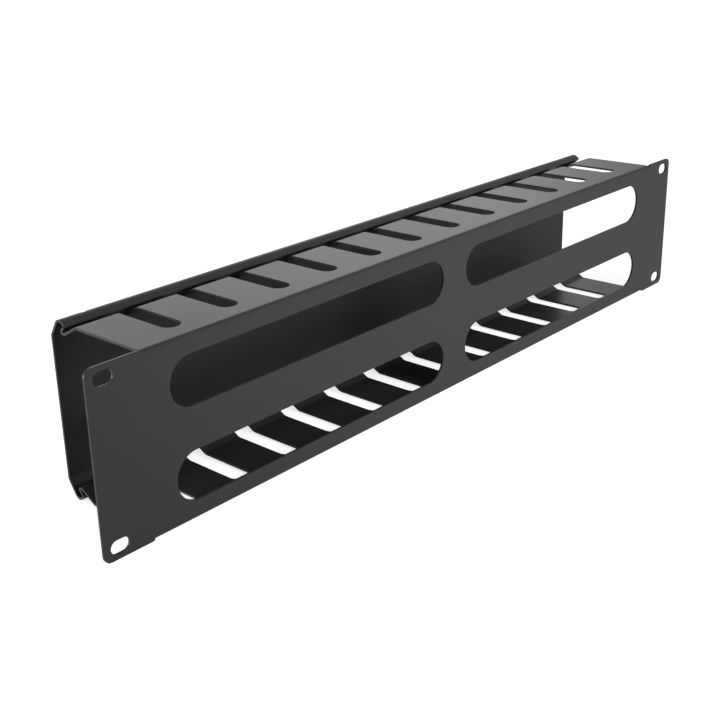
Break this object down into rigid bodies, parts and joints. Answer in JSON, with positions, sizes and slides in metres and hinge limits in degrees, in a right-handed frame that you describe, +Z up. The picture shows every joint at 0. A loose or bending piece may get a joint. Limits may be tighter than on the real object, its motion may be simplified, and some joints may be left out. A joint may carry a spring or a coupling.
{
  "type": "horizontal cable manager",
  "caption": "Rack-mounted horizontal cable duct: a folded panel with cable windows and slotted sides, closed by a long folded cover that snaps in place.",
  "frame": {"origin": "centre of the panel's mounting face, midway between the rack slots", "axes": "+X along the rack's width, +Y out of the rack from the mounting face into the duct, +Z up"},
  "size_m": [0.4826, 0.0643, 0.089],
  "materials": {
    "black_powder_coat": "fine satin powder coat"
  },
  "bodies": {
    "panel": {"slotted_panel": "black_powder_coat"},
    "cover": {"snap_cover": "black_powder_coat"}
  },
  "joints": [
    {"name": "cover_slide", "type": "slide", "parent": "panel", "child": "cover", "axis": [1, 0, 0], "range_m": [-0.46, 0.46]}
  ]
}
